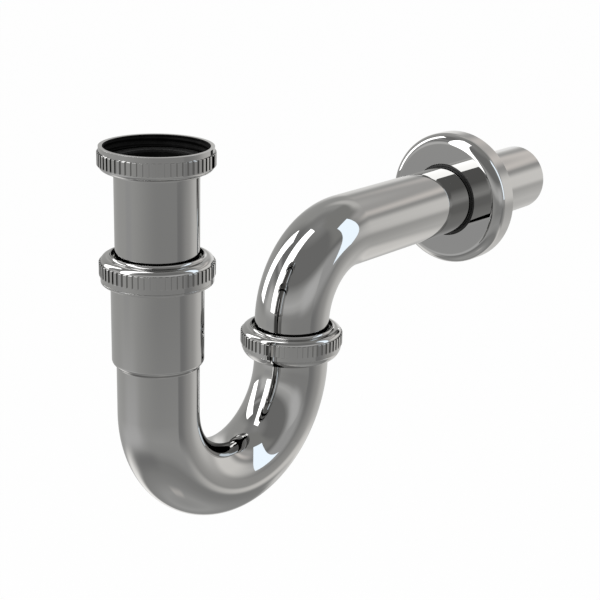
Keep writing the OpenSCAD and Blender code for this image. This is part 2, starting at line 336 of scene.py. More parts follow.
def put_in_scene(name, data, location=(0.0, 0.0, 0.0)):
    """A new object at its place in the scene."""
    thing = bpy.data.objects.new(name, data)
    thing.location = location
    bpy.context.scene.collection.objects.link(thing)
    return thing


def settle(piece, body, node, slot, *looks):
    """Gives a piece its materials and sets it in the frame in place of its node."""
    for look in looks:
        piece.data.materials.append(finishes()[look])
    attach(piece, body)
    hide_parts(node)


def paint_bore_shade(piece, in_shaded_bore):
    """Gives the second material, the dull bore with its painted shade, to the faces whose centre the given
    test says lie inside.
    """
    for face in piece.data.polygons:
        if in_shaded_bore(face.center):
            face.material_index = 1


def paint_bore_shade_rows(piece, shaded_bore_rows):
    """Gives the second material, the dull bore with its painted shade, to the faces between two rows that
    the given rows say lie inside.
    """
    for face in piece.data.polygons:
        if shaded_bore_rows[face.vertices[0] // TUBE_SIDES] and shaded_bore_rows[face.vertices[2] // TUBE_SIDES]:
            face.material_index = 1


def feed(node, sources):
    """Feeds a node's inputs, each with a plain value or from another node's output."""
    for key, source in sources.items():
        if isinstance(source, bpy.types.NodeSocket):
            node.id_data.links.new(source, node.inputs[key])
        else:
            node.inputs[key].default_value = source


def add(tree, kind, sources=None, **settings):
    """A new node with its settings and what feeds it."""
    node = tree.nodes.new("ShaderNode" + kind)
    for key, value in settings.items():
        setattr(node, key, value)
    feed(node, sources or {})
    return node


def new_material(name):
    """A new material with its nodes."""
    material = bpy.data.materials.new(name)
    material.use_nodes = True
    return material


def noise(tree, scale, detail, roughness=0.5):
    """Noise over a piece's own coordinates."""
    place = add(tree, "TexCoord").outputs["Object"]
    return add(tree, "TexNoise", {"Vector": place, "Scale": scale, "Detail": detail,
                                  "Roughness": roughness}).outputs["Fac"]


def toned(tree, source, colour, dark, light, low, high):
    """A colour from its dark to its light share as the source goes from low to high."""
    tone = add(tree, "ValToRGB", {"Fac": source})
    for stop, position, share in zip(tone.color_ramp.elements, (low, high), (dark, light)):
        stop.position = position
        stop.color = (*[min(1.0, c * share) for c in colour], 1)
    return tone.outputs["Color"]


def relief(tree, height, strength, distance):
    """Surface relief from a height."""
    return add(tree, "Bump", {"Height": height, "Strength": strength,
                              "Distance": distance}).outputs["Normal"]


def chrome(name, colour, roughness, grain, waviness=0.05):
    """Mirror plating with a faint waviness from polishing and slight haze in places."""
    tree = new_material(name).node_tree
    haze = add(tree, "MapRange", {"Value": noise(tree, grain, 3.0, 0.55), "From Min": 0.35,
                                  "From Max": 0.75, "To Min": roughness, "To Max": roughness * 1.8})
    feed(tree.nodes["Principled BSDF"], {
        "Base Color": (*colour, 1), "Metallic": 1.0, "Roughness": haze.outputs["Result"],
        "Normal": relief(tree, noise(tree, grain * 1.7, 1.0), waviness, 0.02 * MM)})


def bore_and_painted_shade(name, colour):
    """Near-black, dull bore of a tube or nut: partly metal where the plating doesn't reach, partly painted
    shade of the hollow inside.
    """
    tree = new_material(name).node_tree
    stain = noise(tree, 140.0, 5.0, 0.6)
    feed(tree.nodes["Principled BSDF"], {
        "Base Color": toned(tree, stain, colour, 0.6, 1.5, 0.3, 0.75), "Specular IOR Level": 0.03,
        "Roughness": 0.6, "Normal": relief(tree, stain, 0.25, 0.05 * MM)})


def moulded(name, colour, roughness, grain):
    """Rubber or polyethylene with a fine moulded grain."""
    tree = new_material(name).node_tree
    grains = noise(tree, grain, 2.0)
    spread = add(tree, "MapRange", {"Value": grains, "To Min": roughness * 0.85,
                                    "To Max": roughness * 1.15})
    feed(tree.nodes["Principled BSDF"], {
        "Base Color": toned(tree, noise(tree, 90.0, 4.0), colour, 0.8, 1.2, 0.35, 0.7),
        "Roughness": spread.outputs["Result"], "Normal": relief(tree, grains, 0.3, 0.03 * MM)})


def finishes():
    """The materials, made once."""
    if "nut plating" not in bpy.data.materials:
        finish = bpy.context.scene.trap_finish
        colour, roughness = tuple(finish.chrome), finish.chrome_roughness
        chrome("nut plating", colour, roughness, grain=70.0)
        chrome("tube plating", colour, roughness, grain=45.0)
        chrome("collar plating", colour, roughness * 1.3, grain=80.0)
        chrome("plate plating", colour, roughness, grain=40.0)
        # The bore's near-black is partly painted shade
        bore_and_painted_shade("bore and painted shade", tuple(finish.bore_and_painted_shade))
        moulded("seal rubber", tuple(finish.rubber), roughness=0.55, grain=1800.0)
        moulded("ring rubber", tuple(finish.rubber), roughness=0.45, grain=1500.0)
        moulded("polyethylene", tuple(finish.plastic), roughness=0.5, grain=1200.0)
    return bpy.data.materials


def thread(r, z, angle, thread_r, share):
    """Rise of a right-hand thread on the rows of radius thread_r. share fades it out at its ends."""
    nuts = bpy.context.scene.trap_nuts
    wave = 0.5 - 0.5 * np.cos(2 * math.pi * (z / nuts.pitch - angle / (2 * math.pi)))
    return (np.abs(r - thread_r) < SAME_PLACE) * nuts.thread_rise * wave * share


def ramp(value, low, high, run):
    """0 outside low to high, rising to 1 over run at each end."""
    return np.clip(np.minimum(value - low, high - value) / run, 0.0, 1.0)


# Share of its room that a rounding takes where another one follows
NEXT_TO_ROUNDING = 0.98

# In a nut: how far the relief groove reaches past the thread, the width of the neck's face, and the chamfer
# of the mouth, outwards and upwards
RELIEF = 0.5 * MM
NECK_FACE = 0.35 * MM
CHAMFER_OUT = 0.45 * MM
CHAMFER_UP = 0.3 * MM

# Height between rows of a thread, and the run in which it rises from nothing, in a nut and on a collar
THREAD_ROWS = 0.2 * MM
NUT_THREAD_START = 0.4 * MM
COLLAR_THREAD_START = 0.6 * MM

# Half of a rib's flat top and of its foot in shares of the pitch, the quarter round at a rib's ends with its
# steps, the angle of the first rib, and how far inside the wall the ribs still stand on the shoulder
RIB_TOP = 0.28
RIB_FOOT = 0.29
RIB_END_STEPS = 4
RIB_END = 0.2 * MM
RIB_PHASE = math.radians(0.7)
RIB_DEPTH = 0.05 * MM


def rib_angles(ribs):
    """Angles round a nut, with rows where each rib's top and foot begin."""
    shares = [-RIB_FOOT, -RIB_TOP, 0.0, RIB_TOP, RIB_FOOT, 0.5]
    pitch = 2 * math.pi / ribs
    return np.array([RIB_PHASE + pitch * (rib + share) for rib in range(ribs) for share in shares])


def union_nut(mouth_z, way):
    """Outline and swell of a ribbed union nut. way is 1 where it rises from its mouth and -1 where its
    mouth is up."""
    nuts = bpy.context.scene.trap_nuts
    crest_r, base_r, hole_r = nuts.over_ribs / 2, nuts.base / 2, nuts.hole / 2
    thread_r, depth = nuts.thread / 2, nuts.thread_depth
    relief_r = thread_r + RELIEF
    wall_top = nuts.height - nuts.hollow - nuts.shoulder
    crown = wall_top + nuts.shoulder
    neck_r = hole_r + NECK_FACE
    rib_rise = crest_r - base_r
    outline = rounded([
        (base_r, 0.0, 0.05 * MM),
        (base_r, wall_top, 0.0),
        (base_r, crown, nuts.shoulder * NEXT_TO_ROUNDING),
        (neck_r, crown, nuts.hollow * NEXT_TO_ROUNDING),
        (neck_r, nuts.height, 0.12 * MM),
        (hole_r, nuts.height, 0.12 * MM),
        (hole_r, nuts.seat, 0.15 * MM),
        (relief_r, nuts.seat, 0.3 * MM),
        (relief_r, depth + RELIEF, 0.2 * MM),
        (thread_r, depth, 0.1 * MM, THREAD_ROWS),
        (thread_r, CHAMFER_UP, 0.1 * MM),
        (thread_r + CHAMFER_OUT, 0.0, 0.05 * MM),
    ])
    insets = [RIB_END * (1 - math.sin(math.pi / 2 * step / RIB_END_STEPS))
              for step in range(RIB_END_STEPS + 1)]
    for inset in (*insets, RIB_END + SUPPORT):
        outline = with_row(outline, nuts.rib_low + inset)
        outline = with_row(outline, nuts.rib_high - inset)

    def swell(r, h, angle):
        share = (angle - RIB_PHASE) / (2 * math.pi / nuts.ribs) % 1.0
        share = np.minimum(share, 1.0 - share)
        flank = np.clip((RIB_FOOT - share) / (RIB_FOOT - RIB_TOP), 0.0, 1.0)
        ends = np.sqrt(1 - (1 - ramp(h, nuts.rib_low, nuts.rib_high, RIB_END)) ** 2)
        rise = (rib_rise - RIB_END) * (ends > 0) + RIB_END * ends
        outer = (r > base_r - RIB_DEPTH) * rise * flank
        threaded = ramp(h, CHAMFER_UP, depth, NUT_THREAD_START)
        return outer + thread(r, mouth_z + way * h, angle, thread_r, threaded)

    return outline, swell


def nut_places():
    """For each nut, y of its axis, height of its mouth, and its way as in union_nut."""
    nuts, tubes = bpy.context.scene.trap_nuts, bpy.context.scene.trap_tubes
    return {"inlet": (0.0, 0.0, -1), "slip": (0.0, nuts.slip_mouth, 1),
            "swivel": (tubes.leg_spacing, nuts.swivel_mouth, 1)}


class TRAP_OT_union_nuts(Operator):
    """Make the three ribbed union nuts"""
    bl_idname = "trap.union_nuts"
    bl_label = "Union nuts"

    def execute(self, context):
        nuts = context.scene.trap_nuts
        # Painted shade reaches this far past the thread and the seat, over the mouth's chamfer, so that it
        # shows no glint
        shade_reach = 0.2 * MM
        for name, (y, mouth, way) in nut_places().items():
            outline, swell = union_nut(mouth, way)
            outline[:, [1, 3]] *= way
            piece = skin("union_nut_" + name, outline, straight(y, mouth), rib_angles(nuts.ribs),
                         lambda r, z, angle: swell(r, z * way, angle))
            settle(piece, name + "_nut", name + "_nut", "nut_chrome", "nut plating", "bore and painted shade")
            inside, hole = nuts.thread / 2 + nuts.thread_rise + shade_reach, nuts.hole / 2 + 2 * PAST_BORE

            # Painted shade: the thread with the mouth's chamfer and the hole's wall up to the neck's edge
            # take the near-black bore
            def dark(face):
                r, h = math.hypot(face.x, face.y - y), (face.z - mouth) * way
                return (r < inside and PAST_BORE < h < nuts.seat + shade_reach) or (r < hole and h > nuts.seat)

            paint_bore_shade(piece, dark)
        return {"FINISHED"}


def ring(name, corners, y=0.0, z=0.0):
    """A turned ring round an upright axis."""
    return skin(name, rounded(corners), straight(y, z))


# Thickness of washers and gaskets, their play inside a nut, and the washers' play round a tube
WASHER_THICK = 0.8 * MM
GASKET_THICK = 1.2 * MM
RING_PLAY = 0.3 * MM
WASHER_PLAY = 0.6 * MM


def union_heights():
    """Heights above a nut's mouth of the gasket, the flange and the washer inside it."""
    nuts, tubes = bpy.context.scene.trap_nuts, bpy.context.scene.trap_tubes
    washer = nuts.seat - TOUCH - WASHER_THICK
    flange = washer - TOUCH - tubes.flange_thick
    gasket = flange - TOUCH - GASKET_THICK
    return gasket, flange, washer


def flat_rings(kind, bodies, in_r, low, thick, slot, look):
    """Flat rings inside nuts: bodies says which body each one rides on."""
    out_r = bpy.context.scene.trap_nuts.thread / 2 - RING_PLAY
    corners = [(in_r, low), (out_r, low), (out_r, low + thick), (in_r, low + thick)]
    for nut, body in bodies.items():
        y, mouth, way = nut_places()[nut]
        piece = ring(f"{kind}_{nut}", [(r, h * way, 0.15 * MM) for r, h in corners], y, mouth)
        settle(piece, body, f"{nut}_{kind}", slot, look)


class TRAP_OT_washers(Operator):
    """Make the three polyethylene washers under the nuts' seats"""
    bl_idname = "trap.washers"
    bl_label = "Washers"

    def execute(self, context):
        bodies = {"inlet": "inlet_nut", "slip": "slip_washer", "swivel": "swivel_washer"}
        in_r = context.scene.trap_tubes.outside / 2 + WASHER_PLAY
        flat_rings("washer", bodies, in_r, union_heights()[2], WASHER_THICK, "slip_ring", "polyethylene")
        return {"FINISHED"}


class TRAP_OT_gaskets(Operator):
    """Make the flat rubber gaskets of the inlet and swivel unions"""
    bl_idname = "trap.gaskets"
    bl_label = "Gaskets"

    def execute(self, context):
        tubes = context.scene.trap_tubes
        bodies = {"inlet": "inlet_gasket", "swivel": "trap"}
        in_r = tubes.outside / 2 - tubes.wall
        flat_rings("gasket", bodies, in_r, union_heights()[0], GASKET_THICK, "seal_rubber", "seal rubber")
        return {"FINISHED"}


class TRAP_OT_slip_seal(Operator):
    """Make the rubber wedge that seals the sliding tail"""
    bl_idname = "trap.slip_seal"
    bl_label = "Slip seal"

    def execute(self, context):
        nuts, tubes = context.scene.trap_nuts, context.scene.trap_tubes
        in_r = tubes.outside / 2 + TOUCH
        top = nuts.slip_mouth + union_heights()[2] - TOUCH
        lip_low, low = top - 1.0 * MM, -49.0 * MM
        lip_r = nuts.thread / 2 - 0.5 * MM
        cone_top_r, cone_low_r = 18.55 * MM, tubes.outside / 2 + 1.0 * MM
        piece = ring("wedge_seal", [
            (in_r, top, 0.12 * MM), (lip_r, top, 0.2 * MM), (lip_r, lip_low, 0.2 * MM),
            (cone_top_r, lip_low, 0.05 * MM), (cone_low_r, low, 0.2 * MM), (in_r, low, 0.12 * MM),
        ])
        settle(piece, "slip_seal", "slip_seal", "seal_rubber", "seal rubber")
        return {"FINISHED"}


class TRAP_OT_tail(Operator):
    """Make the straight inlet tail with its flange"""
    bl_idname = "trap.tail"
    bl_label = "Inlet tail"

    def execute(self, context):
        tubes = context.scene.trap_tubes
        out_r = tubes.outside / 2
        in_r = out_r - tubes.wall
        top = -union_heights()[1]
        under, low = top - tubes.flange_thick, top - tubes.tail_length
        piece = ring("tail_tube", [
            (in_r, low, 0.2 * MM), (out_r, low, 0.2 * MM), (out_r, under, 0.5 * MM),
            (tubes.flange / 2, under, 0.15 * MM), (tubes.flange / 2, top, 0.15 * MM),
            (in_r, top, 0.15 * MM),
        ])
        settle(piece, "inlet_tail", "inlet_tail", "tube_chrome", "tube plating", "bore and painted shade")
        # Painted shade: the bore and the flange's inner rounding take the near-black bore, so that the
        # rounding shows no glint
        paint_bore_shade(piece, lambda c: math.hypot(c.x, c.y) < in_r + 0.16 * MM)
        return {"FINISHED"}


# Gap that the brazing fills, and the rows round the bell of the outlet collar's hub
BRAZING = 0.03 * MM
HUB_ROWS = 20


class TRAP_OT_collars(Operator):
    """Make the two threaded collars that are brazed on the trap"""
    bl_idname = "trap.collars"
    bl_label = "Collars"

    def inlet(self, context):
        nuts, socket = context.scene.trap_nuts, context.scene.trap_socket
        thread_r = nuts.thread / 2 - THREAD_PLAY
        seat_r = socket.outside / 2 + BRAZING
        cone_low_r = context.scene.trap_tubes.outside / 2 + 1.1 * MM
        cone_top_r, cone_low = 18.65 * MM, -49.1 * MM
        ledge, flange_top = socket.top + TOUCH, nuts.slip_mouth - TOUCH
        base_r = nuts.base / 2
        outline = rounded([
            (cone_low_r, ledge, 0.05 * MM), (cone_low_r, cone_low, 0.1 * MM),
            (cone_top_r, socket.collar_top, 0.1 * MM),
            (thread_r, socket.collar_top, 0.3 * MM, THREAD_ROWS), (thread_r, flange_top, 0.1 * MM),
            (base_r, flange_top, 0.1 * MM), (base_r, socket.collar_low, 0.35 * MM),
            (seat_r, socket.collar_low, 0.05 * MM), (seat_r, ledge, 0.05 * MM),
        ])
        return outline, thread_r, flange_top, socket.collar_top

    def outlet(self, context):
        nuts, tubes, socket = (context.scene.trap_nuts, context.scene.trap_tubes,
                               context.scene.trap_socket)
        thread_r = nuts.thread / 2 - THREAD_PLAY
        seat_r = tubes.outside / 2 + BRAZING
        base_r, mouth = nuts.base / 2, nuts.swivel_mouth
        top = mouth + union_heights()[0] - TOUCH
        hub_top = mouth - TOUCH
        centre_r, centre_z = base_r - socket.hub, mouth + 1.0 * MM
        lift = math.asin((hub_top - centre_z) / socket.hub)
        sweep = np.linspace(lift, -math.pi / 2, HUB_ROWS)
        hub = [(centre_r + socket.hub * math.cos(a), centre_z + socket.hub * math.sin(a)) for a in sweep]
        outline = rounded([
            (seat_r, top, 0.1 * MM), (thread_r, top, 0.3 * MM, THREAD_ROWS), (thread_r, hub_top, 0.1 * MM),
            (*hub[0], 0.08 * MM), *[(r, z, 0.0) for r, z in hub[1:]], (seat_r, hub[-1][1], 0.05 * MM),
        ])
        return outline, thread_r, hub_top, top

    def execute(self, context):
        tubes = context.scene.trap_tubes
        for name, node, y, (outline, thread_r, low, top) in (
            ("collar_inlet", "inlet_collar", 0.0, self.inlet(context)),
            ("collar_outlet", "outlet_collar", tubes.leg_spacing, self.outlet(context)),
        ):
            def swell(r, z, angle):
                return thread(r, z, angle, thread_r, ramp(z, low, top, COLLAR_THREAD_START))

            piece = skin(name, outline, straight(y, 0), swell=swell)
            settle(piece, "trap", node, "collar_chrome", "collar plating")
        return {"FINISHED"}


class TRAP_OT_trap_bend(Operator):
    """Make the U-bend with its widened socket, one tube"""
    bl_idname = "trap.trap_bend"
    bl_label = "U-bend"

    def execute(self, context):
        tubes, nuts, socket = (context.scene.trap_tubes, context.scene.trap_nuts,
                               context.scene.trap_socket)
        out_r, bend_r = tubes.outside / 2, tubes.leg_spacing / 2
        in_r = out_r - tubes.wall
        wide_out = socket.outside / 2
        wide_in = wide_out - tubes.wall
        riser_top = nuts.swivel_mouth + union_heights()[0] - TOUCH - 0.2 * MM
        leg = socket.top - tubes.bend_height
        length = leg + math.pi * bend_r + riser_top - tubes.bend_height
        step = bend_r * BEND_STEP
        # The socket narrows at 45 degrees: room that a rounding takes there, for each unit of its radius
        room = math.tan(math.radians(45 / 2))
        low = socket.top - socket.low
        convex, concave = 1.8 * MM, 0.8 * MM
        round_in = 0.4 * MM
        outer_top, inner_top = low + convex * room, low + (convex - round_in) * room
        drop = wide_out - out_r
        outline = rounded([
            (wide_in, 0.0, 0.15 * MM), (wide_out, 0.0, 0.3 * MM), (wide_out, outer_top, convex),
            (out_r, outer_top + drop, concave, step), (out_r, length, 0.2 * MM),
            (in_r, length, 0.2 * MM, step), (in_r, inner_top + drop, concave + round_in),
            (wide_in, inner_top, convex - round_in),
        ])
        stations = route(0.0, socket.top, -math.pi / 2,
                         [("run", leg), ("bend", bend_r, math.pi), ("run", 1.0)])
        piece = skin("u_tube", outline, stations)
        settle(piece, "trap", "trap_bend", "tube_chrome", "tube plating", "bore and painted shade")
        # The bore and the socket's inside take the near-black bore, partly painted shade
        paint_bore_shade_rows(piece, (outline[:, 0] < in_r + PAST_BORE) | (
            (outline[:, 0] < wide_in + PAST_BORE) & (outline[:, 1] < low)))
        return {"FINISHED"}


class TRAP_OT_outlet_bend(Operator):
    """Make the outlet bend and the wall pipe, one tube"""
    bl_idname = "trap.outlet_bend"
    bl_label = "Outlet bend"

    def execute(self, context):
        tubes, nuts = context.scene.trap_tubes, context.scene.trap_nuts
        out_r, bend_r = tubes.outside / 2, tubes.outlet_bend
        in_r = out_r - tubes.wall
        low = nuts.swivel_mouth + union_heights()[1]
        leg = tubes.outlet_height - bend_r - low
        pipe = leg + math.pi / 2 * bend_r
        length = pipe + tubes.outlet_reach - bend_r
        step = bend_r * BEND_STEP
        flange_r, thick = tubes.flange / 2, tubes.flange_thick
        outline = rounded([
            (in_r, 0.0, 0.2 * MM), (flange_r, 0.0, 0.15 * MM), (flange_r, thick, 0.15 * MM),
            (out_r, thick, 0.5 * MM), (out_r, leg, 0.0, step), (out_r, pipe, 0.0),
            (out_r, length, 0.2 * MM), (in_r, length, 0.2 * MM), (in_r, pipe, 0.0, step), (in_r, leg, 0.0),
        ])
        stations = route(tubes.leg_spacing, low, math.pi / 2,
                         [("run", leg), ("bend", bend_r, -math.pi / 2), ("run", 1.0)])
        piece = skin("outlet_tube", outline, stations)
        settle(piece, "outlet", "outlet_bend", "tube_chrome", "tube plating", "bore and painted shade")
        # The bore takes the near-black bore, partly painted shade
        paint_bore_shade_rows(piece, outline[:, 0] < in_r + PAST_BORE)
        return {"FINISHED"}


def along_pipe():
    """Stations from the wall plate's front face towards the wall."""
    tubes, plate = bpy.context.scene.trap_tubes, bpy.context.scene.trap_plate
    return straight(tubes.leg_spacing + plate.front, tubes.outlet_height, (0, 1, 0))


class TRAP_OT_wall_plate(Operator):
    """Make the pressed round wall plate"""
    bl_idname = "trap.wall_plate"
    bl_label = "Wall plate"

    def execute(self, context):
        plate = context.scene.trap_plate
        out_r, hole_r, sheet = plate.outside / 2, plate.hole / 2, plate.sheet
        outline = rounded([
            (hole_r, 0.0, 0.15 * MM), (out_r, 0.0, plate.edge), (out_r, plate.depth, 0.2 * MM),
            (out_r - sheet, plate.depth, 0.2 * MM), (out_r - sheet, sheet, plate.edge - sheet),
            (hole_r, sheet, 0.15 * MM),
        ])
        piece = skin("wall_plate", outline, along_pipe())
        settle(piece, "rosette", "rosette", "plate_chrome", "plate plating")
        return {"FINISHED"}


class TRAP_OT_plate_ring(Operator):
    """Make the rubber ring that holds the wall plate on the pipe"""
    bl_idname = "trap.plate_ring"
    bl_label = "Plate ring"

    def execute(self, context):
        tubes, plate = context.scene.trap_tubes, context.scene.trap_plate
        in_r, lip_r = tubes.outside / 2 + TOUCH, plate.hole / 2 - 0.06 * MM
        back, recess, out_r = plate.sheet + TOUCH, 0.4 * MM, 20.5 * MM
        end = back + 3.0 * MM
        outline = rounded([
            (in_r, recess, 0.1 * MM), (lip_r, recess, 0.25 * MM), (lip_r, back, 0.05 * MM),
            (out_r, back, 0.3 * MM), (out_r, end, 0.4 * MM), (in_r, end, 0.2 * MM),
        ])
        piece = skin("plate_ring", outline, along_pipe())
        settle(piece, "rosette_ring", "rosette_ring", "ring_rubber", "ring rubber")
        return {"FINISHED"}


def make_camera(studio):
    """The camera, at the photograph's viewing angle."""
    azimuth, roll = studio.camera_azimuth, studio.camera_roll
    forward = -towards(math.degrees(azimuth), math.degrees(studio.camera_elevation))
    level_right = Vector((math.cos(azimuth), math.sin(azimuth), 0.0))
    level_up = level_right.cross(forward)
    right = level_right * math.cos(roll) + level_up * math.sin(roll)
    up = level_up * math.cos(roll) - level_right * math.sin(roll)
    data = bpy.data.cameras.new("studio_camera")
    data.lens, data.sensor_width = studio.lens, 36.0
    camera = put_in_scene("studio_camera", data)
    turn = Matrix((right, up, -forward)).transposed()
    camera.matrix_world = Matrix.Translation(Vector(studio.camera_place)) @ turn.to_4x4()
    bpy.context.scene.camera = camera


# Grey of the tent round the trap, from straight down to straight up
TENT_GREYS = ((-90, 0.45), (-75, 0.50), (-65, 0.40), (-55, 0.34), (-48, 0.33), (-41, 0.43), (-33, 0.47),
              (-26, 0.43), (-18, 0.35), (-8, 0.36), (-4, 0.41), (0, 0.58), (5, 0.67), (10, 0.58),
              (15, 0.50), (20, 0.36), (25, 0.25), (60, 0.25), (72, 0.33), (90, 0.40))

# Blue of those greys, as a share of their red and green
TENT_BLUE = 0.99

# Lit and dim parts of the tent's cloth: azimuth from -Y towards +X, elevation, half of the width and of
# the height, softness of the sides and of the ends, all in degrees, and the colour
TENT_PARTS = {
    "left wall": (-135, 36, 45, 30, 20, 10, (0.47, 0.47, 0.46)),
    "left wall, low": (-130, 4, 40, 16, 22, 6, (0.48, 0.48, 0.47)),
    "right wall, high": (150, 55, 48, 26, 8, 6, (0.34, 0.34, 0.33)),
    "right wall, low": (172, 34, 36, 11, 12, 5, (0.57, 0.56, 0.55)),
    "left floor": (-80, -18, 85, 11, 45, 6, (0.51, 0.51, 0.50)),
    "near floor in front": (-33, -28, 20, 7, 12, 5, (0.63, 0.63, 0.63)),
    "floor below the corner": (-35, -14.5, 9, 3.5, 6, 3, (0.475, 0.475, 0.475)),
    "floor in front": (-42, -32, 36, 6, 26, 6, (0.68, 0.68, 0.68)),
    "lit corner": (-32, 3.5, 22, 9.5, 9, 6, (0.76, 0.76, 0.75)),
    "between the boxes": (-59, 11, 8, 10, 6, 6, (0.44, 0.44, 0.44)),
    "strip above the corner": (-50, 31, 13, 3, 5, 3, (0.48, 0.48, 0.48)),
    "floor at the left": (-99, -44.5, 34, 7.2, 24, 4.5, (1.18, 1.165, 1.14)),
    "dim floor in front": (-10, -48, 34, 5, 18, 5, (0.28, 0.28, 0.28)),
    "end of the band": (80, 5, 18, 8.5, 12, 7, (0.71, 0.71, 0.71)),
    "beyond the band": (112, 5, 14, 11, 2, 8, (0.53, 0.53, 0.53)),
    "dim floor at the right": (123, -21, 25, 10, 2, 4, (0.28, 0.28, 0.28)),
    "floor at the right": (157, -21, 36, 10, 17, 4, (0.47, 0.465, 0.455)),
    "floor behind": (178, -21, 28, 10.5, 18, 6, (0.78, 0.77, 0.75)),
    "back right": (166, 5, 28, 13.5, 14, 7, (1.02, 1.00, 0.97)),
    "back left": (-154, 4, 18, 13, 14, 8, (0.98, 0.97, 0.95)),
    "far floor": (168, -37, 42, 5, 22, 4, (0.95, 0.93, 0.90)),
    "far floor, low": (-176, -45, 16, 3, 10, 3, (0.86, 0.85, 0.83)),
    "warm strip": (174, 30, 26, 3, 14, 3, (0.95, 0.90, 0.86)),
    "high strip": (-165, 45, 26, 5, 14, 4, (0.78, 0.77, 0.75)),
    "low spot": (45, -74, 20, 4, 8, 4, (0.68, 0.66, 0.64)),
}

# Side of the tent that looks dim where the plating mirrors it twice: as a part above, and its share of light
DIM_SIDE = (-142, 8, 62, 42, 14, 10, 0.28)

# The tent's highest row of vertices, its step, and the opening at its back as from and to azimuth and from
# and to elevation, all in degrees
TENT_TOP = 88
TENT_STEP = 4
TENT_OPENING = (-166, -146, -2, 14)

# Softboxes: azimuth and elevation of the four corners in degrees, and the colour of the light
SOFTBOXES = {
    "softbox_left": (((-84, -4), (-65.5, -4), (-64, 50), (-87, 50)), (3.2, 3.2, 3.2)),
    "softbox_overhead": (((-31, -3), (-12, -3), (10, 83), (-66, 77)), (3.2, 3.2, 3.2)),
    "softbox_right": (((119, -1), (131.5, -2), (138, 50), (115, 50)), (1.60, 1.78, 1.95)),
}

# How often the plating may mirror the tent on: what is mirrored more often looks black, as in a deep gap
MIRRORED_MOST = 2

# Share of plain white that the floor shows, so that it keeps the shadow
FLOOR_WHITE = 0.97

# The tent ends this far above the floor, and the softboxes and the floor's edge lie at these shares of the
# tent's radius
ABOVE_FLOOR = 10 * MM
SOFTBOX_REACH = 0.9
FLOOR_REACH = 1.5

# Azimuth and elevation of the soft lamp in degrees
LAMP_PLACE = (-30, 50)


def towards(azimuth, elevation):
    """Unit vector of an azimuth from -Y towards +X and an elevation, both in degrees."""
    azimuth, elevation = math.radians(azimuth), math.radians(elevation)
    level = math.cos(elevation)
    return Vector((math.sin(azimuth) * level, -math.cos(azimuth) * level, math.sin(elevation)))


def only_reflected(prop):
    """A tent or softbox that the plating mirrors, but that neither shows nor lights anything itself."""
    prop.visible_camera = False
    prop.visible_diffuse = False
    prop.visible_shadow = False
    prop.visible_volume_scatter = False


def maths(tree, operation, *values):
    """What a Math node makes of plain values or other nodes' outputs."""
    return add(tree, "Math", dict(enumerate(values)), operation=operation).outputs[0]


def ray(tree, what):
    """What the renderer says about the ray that asks."""
    return add(tree, "LightPath").outputs[what]


def within_reach(tree):
    """1 for rays that the plating has mirrored up to twice, and 0 after that."""
    return maths(tree, "LESS_THAN", ray(tree, "Glossy Depth"), MIRRORED_MOST + 0.5)


def cloth(name):
    """A new material that only glows, with its node tree and its glow."""
    material = new_material(name)
    tree = material.node_tree
    tree.nodes.remove(tree.nodes["Principled BSDF"])
    glow = add(tree, "Emission")
    feed(tree.nodes["Material Output"], {"Surface": glow.outputs["Emission"]})
    return material, tree, glow


def softbox_cloth(name, colour):
    """Evenly glowing cloth of a softbox."""
    material, tree, glow = cloth(name)
    feed(glow, {"Color": (*colour, 1), "Strength": within_reach(tree)})
    return material


def tent_cloth():
    """Cloth of the tent: greys by height, with lit and dim parts that fade at their edges."""
    material, tree, glow = cloth("tent cloth")
    place = add(tree, "TexCoord").outputs["Object"]
    unit = add(tree, "VectorMath", {0: place}, operation="NORMALIZE")
    x, y, z = add(tree, "SeparateXYZ", {0: unit.outputs["Vector"]}).outputs
    azimuth = maths(tree, "DEGREES", maths(tree, "ARCTAN2", x, maths(tree, "MULTIPLY", y, -1.0)))
    elevation = maths(tree, "DEGREES", maths(tree, "ARCSINE", z))

    upwards = maths(tree, "DIVIDE", maths(tree, "ADD", elevation, 90.0), 180.0)
    greys = add(tree, "ValToRGB", {"Fac": upwards})
    stops = greys.color_ramp.elements
    stops.remove(stops[1])
    for index, (angle, grey) in enumerate(TENT_GREYS):
        stop = stops[0] if index == 0 else stops.new((angle + 90) / 180)
        stop.position = (angle + 90) / 180
        stop.color = (grey, grey, grey * TENT_BLUE, 1)
    colour = greys.outputs["Color"]

    def near(value, half, soft):
        return add(tree, "MapRange", {"Value": maths(tree, "ABSOLUTE", value), "From Min": half + soft,
                                      "From Max": half - soft}, interpolation_type="SMOOTHSTEP").outputs[0]

    def part(centre, height, half_width, half_height, soft_side, soft_end):
        aside = maths(tree, "WRAP", maths(tree, "SUBTRACT", azimuth, centre), 180.0, -180.0)
        above = maths(tree, "SUBTRACT", elevation, height)
        return maths(tree, "MULTIPLY", near(aside, half_width, soft_side),
                     near(above, half_height, soft_end))

    for *extent, shade in TENT_PARTS.values():
        colour = add(tree, "MixRGB", {"Fac": part(*extent), "Color1": colour,
                                      "Color2": (*shade, 1)}).outputs["Color"]
    twice = maths(tree, "GREATER_THAN", ray(tree, "Glossy Depth"), MIRRORED_MOST - 0.5)
    *dim_side, share = DIM_SIDE
    dimming = maths(tree, "MULTIPLY", maths(tree, "MULTIPLY", part(*dim_side), twice), 1.0 - share)
    strength = maths(tree, "MULTIPLY", within_reach(tree), maths(tree, "SUBTRACT", 1.0, dimming))
    feed(glow, {"Color": colour, "Strength": strength})
    return material


